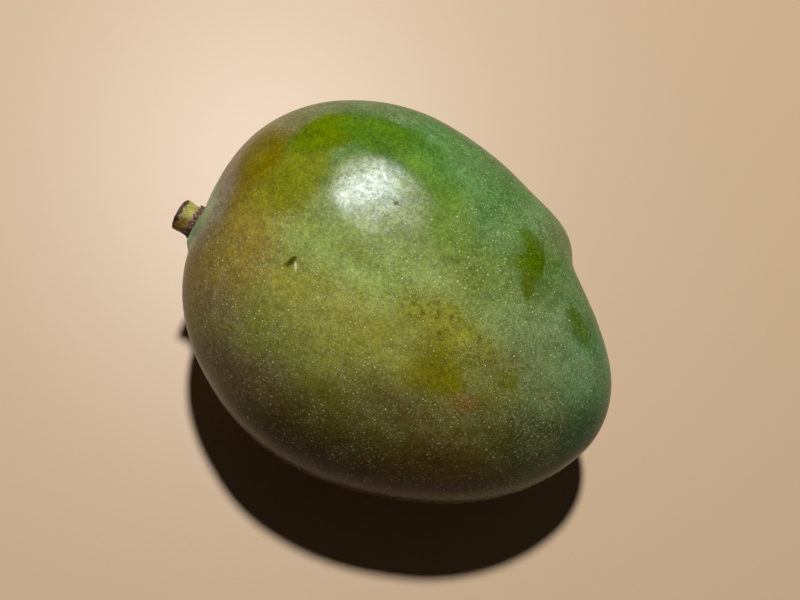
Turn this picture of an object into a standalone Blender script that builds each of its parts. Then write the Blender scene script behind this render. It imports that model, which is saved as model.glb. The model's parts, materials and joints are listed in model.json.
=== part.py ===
"""A mango as picked: the whole fruit lying on its cheek, and the short stub of its stalk.

+Z is up and the row's X axis runs from the stalk at -X to the tip at +X. The origin is under the
middle of the whole thing, on the surface that it lies on. Lengths in this script are in
millimetres until they are put in a mesh, which is in metres.
"""

import bmesh
import bpy
import numpy as np
from mathutils import Vector

OBJECT_NAME = "mango"
MM = 0.001

# The outline of the fruit as it lies, seen from above: the turn from the tip in degrees,
# counter-clockwise, and the distance from the middle.
OUTLINE = {
    "lobe beside the tip": (10.0, 63.0),
    "way into the sinus": (22.0, 54.7),
    "sinus": (35.0, 49.5),
    "beak": (46.0, 52.0),
    "flank below the beak": (60.0, 49.4),
    "narrow of the sinus side": (80.0, 48.0),
    "rise of the sinus side": (108.0, 49.6),
    "upper shoulder": (135.0, 57.5),
    "upper side of the stalk": (160.0, 63.4),
    "stalk": (184.0, 61.2),
    "lower side of the stalk": (203.0, 61.5),
    "lower shoulder": (222.0, 58.5),
    "back near the stalk": (250.0, 54.5),
    "narrow of the back": (278.0, 52.0),
    "back near the tip": (302.0, 53.6),
    "lower corner of the tip": (322.0, 58.3),
    "swell before the tip": (342.0, 63.9),
    "tip": (357.0, 66.4),
}
# The cheeks are rounder than the outline: this many of its waves reach them.
CHEEK_WAVES = 3
# How fast the sinus and the beak fade from the edge to the cheeks.
EDGE_KEENNESS = 4.0

# Thickness above and below the widest level.
UPPER_CHEEK = 42.5
LOWER_CHEEK = 40.5
# How far the cheeks stand out past an ellipsoid, as a share.
FULLNESS = 0.06
# How much thinner the fruit is at the tip, as a share at a distance of HALF_LENGTH.
TAPER = 0.10
HALF_LENGTH = 65.0
HALF_WIDTH = 52.0
# Where the crests of the two cheeks lie from the middle of the outline.
UPPER_CREST = (-6.0, 12.0)
LOWER_CREST = (4.0, -1.0)
# The widest level drops towards the tip and rises towards the sinus side.
LEVEL_RISE = (-3.0, 4.0)
# What the fruit's weight presses flat at its lowest point.
FLAT_DEPTH = 0.6

# The stalk stands on a low cone with a flat top.
STALK_TURN, STALK_LATITUDE = 186.5, 4.5
STALK_HEADING, STALK_CLIMB = 179.0, 8.0
SEAT_RISE = 0.8
SEAT_RADIUS, CONE_RADIUS = 4.9, 8.5
GAP = 0.3

# The stub's side from its foot to its cut end: height on the stalk's axis and radius.
STUB_PROFILE = (
    (0.0, 2.4),
    (0.0, 4.0),
    (0.25, 4.45),
    (0.65, 4.55),
    (1.0, 4.45),
    (1.4, 4.25),
    (2.1, 4.2),
    (2.8, 4.25),
    (3.5, 4.35),
    (4.1, 4.4),
    (4.6, 4.35),
    (5.0, 4.2),
    (5.2, 3.8),
    (5.1, 3.2),
    (4.8, 2.6),
    (4.7, 1.4),
)
STUB_BASE, STUB_END = 0.0, 4.7
# The cut is slanted: its upper edge stands higher by this share of the height.
CUT_SLANT = 0.12
# The ragged collar at the foot and the crust round the cut.
COLLAR_HEIGHT, COLLAR_SPREAD, COLLAR_RAGGED = 0.6, 0.45, 0.2
CRUST_HEIGHT, CRUST_SPREAD, CRUST_RAGGED = 4.9, 0.5, 0.14
BARK_RIDGE = 0.06
# A bead of dried sap sits on the edge of the cut, at its side.
BEAD_TURN, BEAD_SPREAD, BEAD_HEIGHT, BEAD_LENGTH, BEAD_SWELL = 5.0, 20.0, 4.5, 0.55, 0.5

# Steps round the stalk's axis and from the stalk to the tip.
FRUIT_SEGMENTS, FRUIT_RINGS = 64, 50
# Above 1, the rings are drawn together towards the stalk.
RING_CROWDING = 1.25
STUB_SEGMENTS = 36


def smooth_step(share):
    """A share from 0 to 1 with level ends."""
    share = np.clip(share, 0.0, 1.0)
    return share * share * (3.0 - 2.0 * share)


def direction(turn, climb):
    """The unit vector with this turn and this climb, both in degrees."""
    turn, climb = np.radians(turn), np.radians(climb)
    return np.array([np.cos(climb) * np.cos(turn), np.cos(climb) * np.sin(turn), np.sin(climb)])


def closed_curve(points):
    """The smooth closed cubic through (turn, distance) points, as a function of the turn."""
    turns, distances = np.array(sorted(points)).T
    steps = np.diff(np.append(turns, turns[0] + 360.0))
    slopes = (np.roll(distances, -1) - distances) / steps
    count = len(turns)
    matrix = np.zeros((count, count))
    for i in range(count):
        matrix[i, i - 1] += steps[i - 1]
        matrix[i, i] += 2.0 * (steps[i - 1] + steps[i])
        matrix[i, (i + 1) % count] += steps[i]
    bends = np.linalg.solve(matrix, 6.0 * (slopes - np.roll(slopes, 1)))

    def distance(turn):
        turn = (turn - turns[0]) % 360.0 + turns[0]
        i = np.searchsorted(turns, turn, side="right") - 1
        j = (i + 1) % count
        past, left = turn - turns[i], turns[i] + steps[i] - turn
        curved = (bends[i] * left**3 + bends[j] * past**3) / (6.0 * steps[i])
        start = distances[i] / steps[i] - bends[i] * steps[i] / 6.0
        end = distances[j] / steps[i] - bends[j] * steps[i] / 6.0
        return curved + start * left + end * past

    return distance


def rounded(curve, waves):
    """The closed curve with only its first few waves."""
    turns = np.arange(360.0)
    parts = np.fft.rfft(curve(turns)) / len(turns)

    def distance(turn):
        total = np.full(np.shape(turn), parts[0].real)
        for k in range(1, waves + 1):
            total = total + 2.0 * (parts[k] * np.exp(1j * k * np.radians(turn))).real
        return total

    return distance


def body_points(turn, latitude):
    """Points of the fruit's skin, for a turn seen from above and a latitude from cheek to cheek."""
    edge = closed_curve(OUTLINE.values())
    cheek = rounded(edge, CHEEK_WAVES)
    level, height = np.cos(np.radians(latitude)), np.sin(np.radians(latitude))
    keen = level**EDGE_KEENNESS
    reach = (keen * edge(turn) + (1.0 - keen) * cheek(turn)) * level * (1.0 + FULLNESS * height**2)
    upper = height > 0.0
    x = np.where(upper, UPPER_CREST[0], LOWER_CREST[0]) * height**2 + reach * np.cos(np.radians(turn))
    y = np.where(upper, UPPER_CREST[1], LOWER_CREST[1]) * height**2 + reach * np.sin(np.radians(turn))
    thick = np.where(upper, UPPER_CHEEK, LOWER_CHEEK) * (1.0 - TAPER * x / HALF_LENGTH)
    rise = LEVEL_RISE[0] * x / HALF_LENGTH + LEVEL_RISE[1] * y / HALF_WIDTH
    z = thick * height * (1.0 + FULLNESS * level**2) + rise * level**2
    return np.stack([x, y, z], axis=-1)


def raise_seat(points, foot, axis):
    """Draws the skin round the stalk up into a low cone with a flat top."""
    offset = points - foot
    along = offset @ axis
    aside = np.linalg.norm(offset - along[:, None] * axis, axis=1)
    share = smooth_step((CONE_RADIUS - aside) / (CONE_RADIUS - SEAT_RADIUS))
    share = np.where(along > -CONE_RADIUS, share, 0.0)
    return points + (share * (SEAT_RISE - along))[:, None] * axis


def sphere(segments, rings):
    """A unit sphere primitive with its poles on Z."""
    shape = bmesh.new()
    bmesh.ops.create_uvsphere(shape, u_segments=segments, v_segments=rings, radius=1.0)
    return shape


def move_points(shape, points):
    """Puts the points, in millimetres, in the sphere's vertices."""
    for vertex, point in zip(shape.verts, points):
        vertex.co = Vector(point) * MM


def add_object(name, shape, colour, roughness):
    """A smooth-shaded object of the shape, with its own material, in the object's collection."""
    bmesh.ops.triangulate(shape, faces=shape.faces)
    bmesh.ops.recalc_face_normals(shape, faces=shape.faces)
    mesh = bpy.data.meshes.new(name)
    shape.to_mesh(mesh)
    shape.free()
    mesh.shade_smooth()
    material = bpy.data.materials.new(name)
    material.use_nodes = True
    surface = material.node_tree.nodes["Principled BSDF"]
    surface.inputs["Base Color"].default_value = (*colour, 1.0)
    surface.inputs["Roughness"].default_value = roughness
    surface.inputs["Metallic"].default_value = 0.0
    mesh.materials.append(material)
    piece = bpy.data.objects.new(name, mesh)
    bpy.data.collections[OBJECT_NAME].objects.link(piece)
    return piece


def make_fruit(stalk_axis):
    """The fruit, and the middle of the flat seat that its stalk stands on."""
    shape = sphere(FRUIT_SEGMENTS, FRUIT_RINGS)
    polar = np.array([vertex.co for vertex in shape.verts])
    from_stalk = np.arccos(np.clip(polar[:, 2], -1.0, 1.0))
    round_stalk = np.arctan2(polar[:, 1], polar[:, 0])
    from_stalk = np.pi * (from_stalk / np.pi) ** RING_CROWDING
    pole = direction(STALK_TURN, STALK_LATITUDE)
    side = direction(STALK_TURN + 90.0, 0.0)
    up = np.cross(pole, side)
    around = np.cos(round_stalk)[:, None] * side + np.sin(round_stalk)[:, None] * up
    spread = np.cos(from_stalk)[:, None] * pole + np.sin(from_stalk)[:, None] * around
    turn = np.degrees(np.arctan2(spread[:, 1], spread[:, 0]))
    latitude = np.degrees(np.arcsin(np.clip(spread[:, 2], -1.0, 1.0)))
    points = body_points(turn, latitude)
    foot = body_points(np.array([STALK_TURN]), np.array([STALK_LATITUDE]))[0]
    points = raise_seat(points, foot, stalk_axis)
    drop = np.array([0.0, 0.0, points[:, 2].min() + FLAT_DEPTH])
    points -= drop
    points[:, 2] = np.maximum(points[:, 2], 0.0)
    move_points(shape, points)
    fruit = add_object("fruit", shape, (0.20, 0.24, 0.05), 0.42)
    return fruit, foot - drop + SEAT_RISE * stalk_axis


def stub_radius(radius, height, turn):
    """The stub's radius with its bark ridges, ragged collar, crust and bead of sap."""
    ridges = BARK_RIDGE * (np.sin(2.0 * turn + 0.6) + 0.6 * np.sin(5.0 * turn + 1.3 * height))
    collar = np.exp(-(((height - COLLAR_HEIGHT) / COLLAR_SPREAD) ** 2))
    ragged = COLLAR_RAGGED * (np.sin(7.0 * turn + 1.0) + 0.7 * np.sin(11.0 * turn + 2.0))
    crust = np.exp(-(((height - CRUST_HEIGHT) / CRUST_SPREAD) ** 2))
    chipped = CRUST_RAGGED * (np.sin(6.0 * turn + 0.3) + 0.8 * np.sin(9.0 * turn + 1.7))
    from_bead = (np.degrees(turn) - BEAD_TURN + 180.0) % 360.0 - 180.0
    bead = np.exp(-((from_bead / BEAD_SPREAD) ** 2) - ((height - BEAD_HEIGHT) / BEAD_LENGTH) ** 2)
    rough = ridges + collar * ragged + crust * chipped + BEAD_SWELL * bead
    return radius + rough * smooth_step((radius - 1.4) / 2.0)


def make_stub(seat, stalk_axis):
    """The stub of the stalk, standing clear of its seat by the gap."""
    rings = len(STUB_PROFILE) + 1
    shape = sphere(STUB_SEGMENTS, rings)
    polar = np.array([vertex.co for vertex in shape.verts])
    ring = np.arccos(np.clip(-polar[:, 2], -1.0, 1.0)) * rings / np.pi
    turn = np.arctan2(polar[:, 1], polar[:, 0])
    heights = (STUB_BASE, *(height for height, _ in STUB_PROFILE), STUB_END)
    radii = (0.0, *(radius for _, radius in STUB_PROFILE), 0.0)
    height = np.interp(ring, range(rings + 1), heights)
    radius = stub_radius(np.interp(ring, range(rings + 1), radii), height, turn)
    height = height * (1.0 + CUT_SLANT * radius / max(radii) * np.sin(turn))
    side = np.cross([0.0, 0.0, 1.0], stalk_axis)
    side /= np.linalg.norm(side)
    up = np.cross(stalk_axis, side)
    around = np.cos(turn)[:, None] * side + np.sin(turn)[:, None] * up
    foot = seat + GAP * stalk_axis
    move_points(shape, foot + height[:, None] * stalk_axis + radius[:, None] * around)
    return add_object("stem_stub", shape, (0.12, 0.11, 0.03), 0.75)


def stand_at_origin(pieces):
    """Moves the meshes so that the middle of their common box is over the origin."""
    corners = np.array([vertex.co for piece in pieces for vertex in piece.data.vertices])
    lowest, highest = corners.min(axis=0), corners.max(axis=0)
    middle = (lowest + highest) / 2.0
    for piece in pieces:
        for vertex in piece.data.vertices:
            vertex.co -= Vector((middle[0], middle[1], lowest[2]))


def main():
    for thing in list(bpy.data.objects):
        bpy.data.objects.remove(thing)
    bpy.context.scene.collection.children.link(bpy.data.collections.new(OBJECT_NAME))
    stalk_axis = direction(STALK_HEADING, STALK_CLIMB)
    fruit, seat = make_fruit(stalk_axis)
    stub = make_stub(seat, stalk_axis)
    stand_at_origin([fruit, stub])


main()
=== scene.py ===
"""A mango lying on its cheek, with the stub of its stalk: skin, pores, marks, bark, crust and sap.

+Z is up and +X runs from the stalk to the tip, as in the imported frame. Sizes in the classes are in
millimetres until they enter a mesh or a material, which are in metres.
"""

from __future__ import annotations

import json
import logging
import math
from dataclasses import dataclass, field
from enum import Enum
from typing import Union

import bmesh
import bpy
import numpy as np
from mathutils import Matrix, Vector, noise

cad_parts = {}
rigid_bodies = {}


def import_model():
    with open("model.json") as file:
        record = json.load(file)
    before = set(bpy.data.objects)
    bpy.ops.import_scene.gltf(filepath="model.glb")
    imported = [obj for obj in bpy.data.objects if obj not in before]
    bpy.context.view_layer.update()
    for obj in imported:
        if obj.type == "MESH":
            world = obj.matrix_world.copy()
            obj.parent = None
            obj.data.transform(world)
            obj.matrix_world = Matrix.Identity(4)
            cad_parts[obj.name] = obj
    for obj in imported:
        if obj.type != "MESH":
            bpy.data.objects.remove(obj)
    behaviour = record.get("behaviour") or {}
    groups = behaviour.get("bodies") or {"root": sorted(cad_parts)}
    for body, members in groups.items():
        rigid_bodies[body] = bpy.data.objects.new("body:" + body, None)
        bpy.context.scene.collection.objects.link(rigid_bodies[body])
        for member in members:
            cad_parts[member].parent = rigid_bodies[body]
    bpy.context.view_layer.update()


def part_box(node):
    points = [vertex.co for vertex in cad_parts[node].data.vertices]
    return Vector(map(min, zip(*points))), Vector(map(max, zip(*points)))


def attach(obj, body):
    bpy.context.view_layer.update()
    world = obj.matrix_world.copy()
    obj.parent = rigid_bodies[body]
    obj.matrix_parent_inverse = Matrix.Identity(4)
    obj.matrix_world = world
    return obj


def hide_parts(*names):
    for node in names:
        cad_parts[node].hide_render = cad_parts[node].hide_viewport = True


MM = 0.001
# The height of the fruit's widest level.
WIDEST_LEVEL = 41.0
# What makes an oval of the fruit's proportions round.
FRUIT_STRETCH = (0.75, 1.0, 1.0)
LOG = logging.getLogger("mango")

Colour = tuple[float, float, float]
Place = tuple[float, float, float]
Number = Union[float, "Wire"]
Triple = Union[Place, "Wire"]
Any3 = Union[Number, Triple]
Profile = tuple[tuple[float, float], ...]


def smooth_step(share: np.ndarray) -> np.ndarray:
    """A share from 0 to 1 with level ends."""
    share = np.clip(share, 0.0, 1.0)
    return share * share * (3.0 - 2.0 * share)


def metres(sizes: tuple[float, ...]) -> tuple[float, ...]:
    """Sizes in millimetres, or a place, in metres."""
    return tuple(size * MM for size in sizes)


def direction(turn: float, climb: float) -> np.ndarray:
    """The unit vector with this turn and this climb, both in degrees."""
    turn, climb = math.radians(turn), math.radians(climb)
    return np.array([math.cos(climb) * math.cos(turn), math.cos(climb) * math.sin(turn), math.sin(climb)])


# Node trees


class Wire:
    """The output of a node. Sums and products of wires add the nodes that work them out."""

    def __init__(self, graph: Graph, socket: bpy.types.NodeSocket) -> None:
        self.graph = graph
        self.socket = socket

    def _math(self, operation: str, first: Any3, second: Any3) -> Wire:
        """A sum or the like, of vectors where either term is one."""
        if any(isinstance(term, tuple) or _is_vector(term) for term in (first, second)):
            return self.graph.vector(operation, first, second)
        return self.graph.math(operation, first, second)

    def __add__(self, other: Any3) -> Wire:
        """This plus the other."""
        return self._math("ADD", self, other)

    def __radd__(self, other: Any3) -> Wire:
        """The other plus this."""
        return self._math("ADD", other, self)

    def __sub__(self, other: Any3) -> Wire:
        """This less the other."""
        return self._math("SUBTRACT", self, other)

    def __rsub__(self, other: Any3) -> Wire:
        """The other less this."""
        return self._math("SUBTRACT", other, self)

    def __mul__(self, other: Any3) -> Wire:
        """This times the other, which may be a number where this is a vector."""
        if _is_vector(self) and not isinstance(other, tuple) and not _is_vector(other):
            return self.graph.scale(self, other)
        return self._math("MULTIPLY", self, other)

    def __rmul__(self, other: Any3) -> Wire:
        """The other times this."""
        return self * other

    def __truediv__(self, other: Any3) -> Wire:
        """This over the other."""
        return self._math("DIVIDE", self, other)

    def __pow__(self, power: Number) -> Wire:
        """This to a power."""
        return self.graph.math("POWER", self, power)

    def parts(self) -> tuple[Wire, Wire, Wire]:
        """The three parts of a vector."""
        node = self.graph.node("ShaderNodeSeparateXYZ", {0: self})
        return tuple(Wire(self.graph, node.outputs[i]) for i in range(3))


def _is_vector(term: Any3) -> bool:
    """True for a wire that carries a vector."""
    return isinstance(term, Wire) and term.socket.type == "VECTOR"


class Graph:
    """Adds nodes to one node tree and joins them, in geometry and in materials alike."""

    SOCKETS = {
        float: "NodeSocketFloat",
        int: "NodeSocketInt",
        tuple: "NodeSocketVector",
        "colour": "NodeSocketColor",
        "geometry": "NodeSocketGeometry",
        "material": "NodeSocketMaterial",
    }

    def __init__(self, tree: bpy.types.NodeTree) -> None:
        self.tree = tree
        self._entry: bpy.types.Node | None = None

    def node(self, kind: str, inputs: dict | None = None, **settings: object) -> bpy.types.Node:
        """Adds a node.

        Args:
            kind: Blender's name for the kind of node.
            inputs: what feeds its sockets, by their names or numbers.
            settings: the node's own properties.

        Returns:
            The new node.
        """
        made = self.tree.nodes.new(kind)
        for name, value in settings.items():
            setattr(made, name, value)
        for key, value in (inputs or {}).items():
            self.feed(made.inputs[key], value)
        return made

    def feed(self, socket: bpy.types.NodeSocket, value: object) -> None:
        """Joins a wire to the socket, or sets the socket's own value."""
        if isinstance(value, Wire):
            self.tree.links.new(value.socket, socket)
        elif socket.type == "VECTOR" and isinstance(value, (int, float)):
            socket.default_value = (value, value, value)
        elif socket.type == "RGBA":
            socket.default_value = (*value[:3], 1.0)
        else:
            socket.default_value = value

    def out(self, kind: str, inputs: dict | None = None, output: str | int = 0, **settings: object) -> Wire:
        """Adds a node and gives one of its outputs."""
        return Wire(self, self.node(kind, inputs, **settings).outputs[output])

    def math(self, operation: str, *terms: Number, clamp: bool = False) -> Wire:
        """Works out a number from numbers."""
        settings = {"operation": operation, "use_clamp": clamp}
        return self.out("ShaderNodeMath", dict(enumerate(terms)), **settings)

    def vector(self, operation: str, *terms: Any3) -> Wire:
        """Works out a vector from vectors."""
        return self.out("ShaderNodeVectorMath", dict(enumerate(terms)), operation=operation)

    def scale(self, vector: Triple, factor: Number) -> Wire:
        """A vector made longer or shorter."""
        return self.out("ShaderNodeVectorMath", {0: vector, "Scale": factor}, operation="SCALE")

    def length(self, vector: Triple) -> Wire:
        """How long a vector is."""
        return self.out("ShaderNodeVectorMath", {0: vector}, "Value", operation="LENGTH")

    def dot(self, first: Triple, second: Triple) -> Wire:
        """The dot product of two vectors."""
        return self.out("ShaderNodeVectorMath", {0: first, 1: second}, "Value", operation="DOT_PRODUCT")

    def combine(self, x: Number, y: Number, z: Number) -> Wire:
        """A vector from its parts."""
        return self.out("ShaderNodeCombineXYZ", {0: x, 1: y, 2: z})

    def ramp(self, value: Number, start: Number, end: Number, low: Number = 0.0, high: Number = 1.0) -> Wire:
        """A smooth step.

        Args:
            value: what the step reads.
            start: the value at which the step begins.
            end: the value at which it ends. It may be the lower one.
            low: the result at the start and beyond.
            high: the result at the end and beyond.

        Returns:
            The stepped value.
        """
        terms = {"Value": value, "From Min": start, "From Max": end, "To Min": low, "To Max": high}
        return self.out("ShaderNodeMapRange", terms, interpolation_type="SMOOTHSTEP")

    def noise(
        self, place: Triple, size: float, detail: float = 2.0, rough: float = 0.5, twist: float = 0.0
    ) -> Wire:
        """Soft noise from 0 to 1 whose lumps have about this size in millimetres."""
        terms = {"Vector": place, "Scale": 1.0 / (size * MM), "Detail": detail, "Roughness": rough}
        return self.out("ShaderNodeTexNoise", {**terms, "Distortion": twist})

    def cells(self, place: Triple, crowding: float, **settings: object) -> Wire:
        """How far the nearest middle of a random cell is, with this many cells to a metre."""
        return self.out("ShaderNodeTexVoronoi", {"Vector": place, "Scale": crowding}, **settings)

    def drift(self, place: Triple, size: float, reach: float, detail: float = 2.0) -> Wire:
        """The place moved aside by noise, up to about the reach in millimetres."""
        terms = {"Vector": place, "Scale": 1.0 / (size * MM), "Detail": detail}
        shift = self.out("ShaderNodeTexNoise", terms, "Color")
        shift = self.vector("SUBTRACT", shift, 0.5)
        return self.vector("ADD", place, self.scale(shift, 2.0 * reach * MM))

    def tint(self, first: object, second: object, share: Number, kind: str = "MIX") -> Wire:
        """A mix of two colours."""
        settings = {"data_type": "RGBA", "blend_type": kind, "clamp_factor": True}
        return self.out("ShaderNodeMix", {0: share, 6: first, 7: second}, 2, **settings)

    def entry(self, name: str, kind: object, value: object = None) -> Wire:
        """Adds a named input to the tree.

        Args:
            name: the name of the input.
            kind: a key of SOCKETS.
            value: what the input holds unless it is fed.

        Returns:
            The wire that carries it inside the tree.
        """
        socket = self.tree.interface.new_socket(name, in_out="INPUT", socket_type=self.SOCKETS[kind])
        if value is not None:
            socket.default_value = (*value, 1.0) if kind == "colour" else value
        if self._entry is None:
            self._entry = self.tree.nodes.new("NodeGroupInput")
        return Wire(self, self._entry.outputs[name])

    def leave(self, **results: Wire) -> None:
        """Adds the tree's named outputs, each fed by its wire."""
        kinds = {"RGBA": "colour", "GEOMETRY": "geometry", "VECTOR": tuple, "VALUE": float}
        for name, wire in results.items():
            kind = self.SOCKETS[kinds[wire.socket.type]]
            self.tree.interface.new_socket(name, in_out="OUTPUT", socket_type=kind)
        exit_node = self.tree.nodes.new("NodeGroupOutput")
        for name, wire in results.items():
            self.tree.links.new(wire.socket, exit_node.inputs[name])

    def use(self, group: bpy.types.NodeTree, inputs: dict) -> dict[str, Wire]:
        """Places a shader group in this tree and gives its outputs by name."""
        placed = self.node("ShaderNodeGroup", node_tree=group)
        for name, value in inputs.items():
            self.feed(placed.inputs[name], value)
        return {socket.name: Wire(self, socket) for socket in placed.outputs}


def new_geometry_graph(name: str) -> Graph:
    """An empty Geometry Nodes tree."""
    return Graph(bpy.data.node_groups.new(name, "GeometryNodeTree"))


def new_shader_group(name: str) -> Graph:
    """An empty group of shader nodes."""
    return Graph(bpy.data.node_groups.new(name, "ShaderNodeTree"))


class Shade(Graph):
    """A material's node tree, which ends in one Principled BSDF."""

    def __init__(self, name: str) -> None:
        self.material = bpy.data.materials.new(name)
        self.material.use_nodes = True
        super().__init__(self.material.node_tree)
        self.surface = self.tree.nodes["Principled BSDF"]
        self.place = self.out("ShaderNodeTexCoord", output="Object")

    def finish(self, height: Wire | None = None, **inputs: object) -> bpy.types.Material:
        """Feeds the surface.

        Args:
            height: the relief in millimetres, for the bump.
            inputs: values and wires for the Principled BSDF, with _ for each blank in a name.

        Returns:
            The material.
        """
        for name, value in inputs.items():
            self.feed(self.surface.inputs[name.replace("_", " ")], value)
        if height is not None:
            bump = self.out("ShaderNodeBump", {"Height": height, "Distance": MM, "Strength": 1.0}, "Normal")
            self.feed(self.surface.inputs["Normal"], bump)
        return self.material


def run_tree(base: bpy.types.Object, graph: Graph, values: dict[str, object]) -> bpy.types.Mesh:
    """Runs a Geometry Nodes tree on an object.

    Args:
        base: the object whose mesh enters the tree.
        graph: the tree.
        values: the tree's inputs by name.

    Returns:
        The plain mesh that it makes.
    """
    modifier = base.modifiers.new("shape", "NODES")
    modifier.node_group = graph.tree
    for item in graph.tree.interface.items_tree:
        if item.item_type == "SOCKET" and item.in_out == "INPUT" and item.name in values:
            modifier[item.identifier] = values[item.name]
    evaluated = base.evaluated_get(bpy.context.evaluated_depsgraph_get())
    mesh = bpy.data.meshes.new_from_object(evaluated)
    base.modifiers.remove(modifier)
    return mesh


def new_object(name: str, data: bpy.types.ID) -> bpy.types.Object:
    """A new object of the scene that holds this data."""
    made = bpy.data.objects.new(name, data)
    bpy.context.scene.collection.objects.link(made)
    return made


def add_piece(name: str, mesh: bpy.types.Mesh) -> bpy.types.Object:
    """A smooth-shaded object that holds the mesh, at the origin."""
    mesh.name = name
    mesh.shade_smooth()
    return new_object(name, mesh)


def points_of(mesh: bpy.types.Mesh) -> np.ndarray:
    """The mesh's points, in millimetres."""
    points = np.empty(len(mesh.vertices) * 3, np.float32)
    mesh.vertices.foreach_get("co", points)
    return points.reshape(-1, 3).astype(float) / MM


def put_points(mesh: bpy.types.Mesh, points: np.ndarray) -> None:
    """Puts the points, in millimetres, in the mesh."""
    mesh.vertices.foreach_set("co", (points * MM).astype(np.float32).ravel())
    mesh.update()


# The fruit's form


@dataclass(frozen=True)
class FruitForm:
    """The rule of the fruit's shape: the same driving values as in the part's source."""

    # Turn from the tip in degrees, counter-clockwise from above, and distance from the middle.
    outline: tuple[tuple[float, float], ...] = (
        (10.0, 63.0),
        (22.0, 54.7),
        (35.0, 49.5),
        (46.0, 52.0),
        (60.0, 49.4),
        (80.0, 48.0),
        (108.0, 49.6),
        (135.0, 57.5),
        (160.0, 63.4),
        (184.0, 61.2),
        (203.0, 61.5),
        (222.0, 58.5),
        (250.0, 54.5),
        (278.0, 52.0),
        (302.0, 53.6),
        (322.0, 58.3),
        (342.0, 63.9),
        (357.0, 66.4),
    )
    outline_waves: int = 24
    cheek_waves: int = 3
    edge_keenness: float = 4.0
    upper_cheek: float = 42.5
    lower_cheek: float = 40.5
    fullness: float = 0.06
    taper: float = 0.10
    half_length: float = 65.0
    half_width: float = 52.0
    upper_crest: tuple[float, float] = (-6.0, 12.0)
    lower_crest: tuple[float, float] = (4.0, -1.0)
    level_rise: tuple[float, float] = (-3.0, 4.0)

    def waves(self) -> list[tuple[float, float]]:
        """The amount and the phase of each wave of the outline, the mean first."""
        turns = np.arange(360.0)
        parts = np.fft.rfft(self._distance(turns)) / len(turns)
        amounts = np.abs(parts) * 2.0
        amounts[0] /= 2.0
        return list(zip(amounts.tolist(), np.angle(parts).tolist()))[: self.outline_waves + 1]

    def _distance(self, turn: np.ndarray) -> np.ndarray:
        """The outline's distance at each turn, on a smooth closed cubic through its points."""
        turns, distances = np.array(sorted(self.outline)).T
        steps = np.diff(np.append(turns, turns[0] + 360.0))
        slopes = (np.roll(distances, -1) - distances) / steps
        count = len(turns)
        matrix = np.zeros((count, count))
        for i in range(count):
            matrix[i, i - 1] += steps[i - 1]
            matrix[i, i] += 2.0 * (steps[i - 1] + steps[i])
            matrix[i, (i + 1) % count] += steps[i]
        bends = np.linalg.solve(matrix, 6.0 * (slopes - np.roll(slopes, 1)))
        turn = (turn - turns[0]) % 360.0 + turns[0]
        i = np.searchsorted(turns, turn, side="right") - 1
        j = (i + 1) % count
        past, left = turn - turns[i], turns[i] + steps[i] - turn
        curved = (bends[i] * left**3 + bends[j] * past**3) / (6.0 * steps[i])
        start = distances[i] / steps[i] - bends[i] * steps[i] / 6.0
        end = distances[j] / steps[i] - bends[j] * steps[i] / 6.0
        return curved + start * left + end * past

    def graph(self) -> Graph:
        """The Geometry Nodes tree that bends a ball of even faces into the fruit."""
        graph = new_geometry_graph("Fruit body")
        cells = graph.entry("Cells per edge", int, 64)
        size = {name: graph.entry(name, float) for name in self.sizes()}
        material = graph.entry("Skin", "material")
        posts = graph.math("ADD", cells, 1.0)
        sides = {"Size": 2.0, "Vertices X": posts, "Vertices Y": posts, "Vertices Z": posts}
        cube = graph.out("GeometryNodeMeshCube", sides, "Mesh")
        spread = graph.out("GeometryNodeInputPosition") * (math.pi / 4.0)
        ball = graph.vector("NORMALIZE", graph.vector("TANGENT", spread))
        x, y, height = ball.parts()
        turn = graph.math("ARCTAN2", y, x)
        level = graph.math("SQRT", graph.math("MAXIMUM", 1.0 - height * height, 0.0))
        mean, *waves = self.waves()
        edge: Wire = graph.math("ADD", mean[0], 0.0)
        for order, (amount, phase) in enumerate(waves, 1):
            edge = edge + graph.math("COSINE", turn * float(order) + phase) * amount
            if order == self.cheek_waves:
                cheek = edge
        keen = level ** size["Edge keenness"]
        reach = (keen * edge + (1.0 - keen) * cheek) * level * (1.0 + size["Fullness"] * height * height)
        upper = graph.math("GREATER_THAN", height, 0.0)
        crest = [low + (high - low) * upper for low, high in zip(self.lower_crest, self.upper_crest)]
        x = crest[0] * height * height + reach * graph.math("COSINE", turn)
        y = crest[1] * height * height + reach * graph.math("SINE", turn)
        thick = size["Lower cheek"] + (size["Upper cheek"] - size["Lower cheek"]) * upper
        thick = thick * (1.0 - size["Taper"] * x / size["Half length"])
        rise = x / size["Half length"] * self.level_rise[0] + y / size["Half width"] * self.level_rise[1]
        z = thick * height * (1.0 + size["Fullness"] * level * level) + rise * level * level
        body = graph.combine(x, y, z) * MM
        moved = graph.out("GeometryNodeSetPosition", {"Geometry": cube, "Position": body})
        joined = graph.out("GeometryNodeMergeByDistance", {"Geometry": moved, "Distance": 0.01 * MM})
        graph.leave(Mesh=graph.out("GeometryNodeSetMaterial", {"Geometry": joined, "Material": material}))
        return graph

    def sizes(self) -> dict[str, float]:
        """The values for the tree's named inputs."""
        return {
            "Edge keenness": self.edge_keenness,
            "Upper cheek": self.upper_cheek,
            "Lower cheek": self.lower_cheek,
            "Fullness": self.fullness,
            "Taper": self.taper,
            "Half length": self.half_length,
            "Half width": self.half_width,
        }


@dataclass(frozen=True)
class Dent:
    """A hollow, or with a negative depth a swelling, in the skin.

    The place is over x and y on the upper cheek. The reach is along and across the turn.
    """

    x: float
    y: float
    reach: tuple[float, float]
    depth: float
    turn: float = 0.0


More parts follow.
